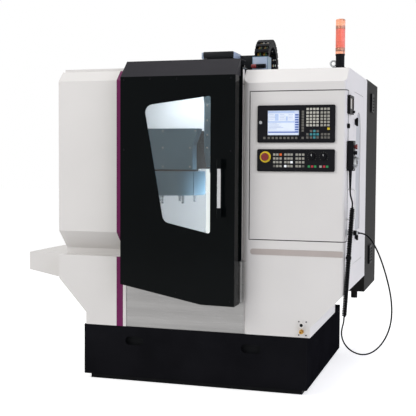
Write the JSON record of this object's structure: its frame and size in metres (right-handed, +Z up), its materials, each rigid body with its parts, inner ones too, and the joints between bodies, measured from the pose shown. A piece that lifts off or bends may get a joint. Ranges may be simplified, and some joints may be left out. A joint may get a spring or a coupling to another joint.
{
  "type": "vertical machining center",
  "caption": "Enclosed vertical milling center with a sliding door, table, spindle head, tool changer and control cabinet; it mills clamped workpieces by program.",
  "frame": {"origin": "on the floor, at the middle of the base's footprint", "axes": "+X to the operator's right, +Y away from the operator, +Z up"},
  "size_m": [2.1751, 1.6055, 2.05],
  "materials": {
    "panel_white": "fine satin powder coat",
    "accent_plum": "satin paint",
    "base_black": "satin powder coat",
    "door_black": "gloss paint",
    "hood_grey": "matt powder coat",
    "window_glass": "clear safety glass",
    "apron_steel": "brushed",
    "handle_chrome": "polished",
    "casting_grey": "painted casting",
    "bed_dark": "painted casting",
    "table_iron": "ground",
    "head_grey": "satin paint",
    "motor_black": "satin paint",
    "tool_steel": "ground",
    "chain_black": "moulded",
    "disc_alloy": "machined",
    "unit_dark": "moulded",
    "screen_glass": "lit display",
    "key_grey": "membrane",
    "stop_yellow": "moulded",
    "stop_red": "moulded",
    "knob_black": "moulded",
    "coupling_brass": "turned",
    "zinc_steel": "zinc plated",
    "cord_black": "smooth jacket",
    "rear_grey": "satin powder coat",
    "drive_grey": "satin paint",
    "lamp_orange": "clear moulded lens",
    "hook_white": "dipped wire"
  },
  "bodies": {
    "frame": {"plinth": "base_black", "bed_casting": "bed_dark", "column": "casting_grey", "z_motor": "motor_black", "energy_chain": "chain_black", "changer_housing": "head_grey", "changer_guard": "head_grey", "left_housing": "panel_white", "left_lower_panel": "panel_white", "side_wing": "panel_white", "accent_strips": "accent_plum", "back_wall": "panel_white", "front_apron": "apron_steel", "door_frame": "door_black", "cabinet_shell": "panel_white", "control_cover": "panel_white", "operator_unit": "unit_dark", "operator_screen": "screen_glass", "machine_panel": "unit_dark", "panel_keys": "key_grey", "estop_collar": "stop_yellow", "connector_plate": "panel_white", "air_coupling": "coupling_brass", "service_box": "knob_black", "pendant_body": "knob_black", "cable_hook": "hook_white", "pendant_socket": "zinc_steel", "cord_leads": "cord_black", "cord_coil": "cord_black", "rear_cabinet": "rear_grey", "vents": "chain_black", "drive_rack": "drive_grey", "signal_lamp": "lamp_orange", "lamp_base": "knob_black", "lifting_eyes": "zinc_steel"},
    "door": {"door_panel": "door_black", "door_window": "window_glass", "door_handle": "handle_chrome", "door_hood": "hood_grey"},
    "saddle": {"saddle": "casting_grey"},
    "table": {"table": "table_iron"},
    "head": {"head_casting": "head_grey", "spindle_cartridge": "tool_steel", "spindle_motor": "motor_black", "junction_box": "head_grey"},
    "spindle": {"spindle_shaft": "tool_steel", "tool_holder": "tool_steel"},
    "z_screw": {"z_screw": "tool_steel"},
    "carousel": {"tool_disc": "disc_alloy", "stored_tools": "tool_steel"},
    "estop_button": {"estop_button": "stop_red"},
    "feed_knob": {"feed_knob": "knob_black"},
    "speed_knob": {"speed_knob": "knob_black"},
    "side_door": {"side_door": "panel_white"},
    "upper_latch": {"upper_latch": "knob_black"},
    "lower_latch": {"lower_latch": "knob_black"},
    "rear_door": {"rear_door": "rear_grey"},
    "pendant_wheel": {"pendant_wheel": "zinc_steel"},
    "pendant_selector": {"pendant_selector": "knob_black"},
    "pendant_stop": {"pendant_stop": "stop_red"}
  },
  "joints": [
    {"name": "door_slide", "type": "slide", "parent": "frame", "child": "door", "axis": [-1, 0, 0], "range_m": [0, 0.43]},
    {"name": "y_axis", "type": "slide", "parent": "frame", "child": "saddle", "axis": [0, 1, 0], "range_m": [-0.125, 0.125]},
    {"name": "x_axis", "type": "slide", "parent": "saddle", "child": "table", "axis": [1, 0, 0], "range_m": [-0.25, 0.25]},
    {"name": "z_axis", "type": "slide", "parent": "frame", "child": "head", "axis": [0, 0, -1], "range_m": [0, 0.33], "deforming": ["energy_chain"]},
    {"name": "spindle_spin", "type": "hinge", "parent": "head", "child": "spindle", "pos_m": [0, 0, 1.18], "axis": [0, 0, 1], "continuous": true},
    {"name": "z_screw_spin", "type": "hinge", "parent": "frame", "child": "z_screw", "pos_m": [0, 0.356, 1.2], "axis": [0, 0, 1], "continuous": true},
    {"name": "carousel_spin", "type": "hinge", "parent": "frame", "child": "carousel", "pos_m": [-0.33, 0, 1.13], "axis": [0, 0, 1], "continuous": true},
    {"name": "estop_press", "type": "slide", "parent": "frame", "child": "estop_button", "axis": [0, 1, 0], "range_m": [0, 0.005], "stiffness_N_per_m": 1500},
    {"name": "feed_knob_turn", "type": "hinge", "parent": "frame", "child": "feed_knob", "pos_m": [0.673, -0.5975, 1.298], "axis": [0, -1, 0], "range_deg": [-135, 135]},
    {"name": "speed_knob_turn", "type": "hinge", "parent": "frame", "child": "speed_knob", "pos_m": [0.736, -0.5975, 1.298], "axis": [0, -1, 0], "range_deg": [-135, 135]},
    {"name": "side_door_hinge", "type": "hinge", "parent": "frame", "child": "side_door", "pos_m": [0.852, 0.1005, 1.177], "axis": [0, 0, 1], "range_deg": [0, 110]},
    {"name": "upper_latch_turn", "type": "hinge", "parent": "side_door", "child": "upper_latch", "pos_m": [0.852, -0.2535, 1.495], "axis": [1, 0, 0], "range_deg": [0, 90]},
    {"name": "lower_latch_turn", "type": "hinge", "parent": "side_door", "child": "lower_latch", "pos_m": [0.852, -0.1835, 0.846], "axis": [1, 0, 0], "range_deg": [0, 90]},
    {"name": "rear_door_hinge", "type": "hinge", "parent": "frame", "child": "rear_door", "pos_m": [0.852, 0.743, 1.12], "axis": [0, 0, -1], "range_deg": [0, 110]},
    {"name": "pendant_wheel_turn", "type": "hinge", "parent": "frame", "child": "pendant_wheel", "pos_m": [0.888, -0.5235, 1.27], "axis": [1, 0, 0], "continuous": true},
    {"name": "pendant_selector_turn", "type": "hinge", "parent": "frame", "child": "pendant_selector", "pos_m": [0.888, -0.5415, 1.319], "axis": [1, 0, 0], "range_deg": [-60, 60]},
    {"name": "pendant_stop_press", "type": "slide", "parent": "frame", "child": "pendant_stop", "axis": [-1, 0, 0], "range_m": [0, 0.004], "stiffness_N_per_m": 1200}
  ],
  "couplings": [
    {"joint": "z_screw_spin", "follows": "z_axis", "rad_per_m": 314.16}
  ]
}
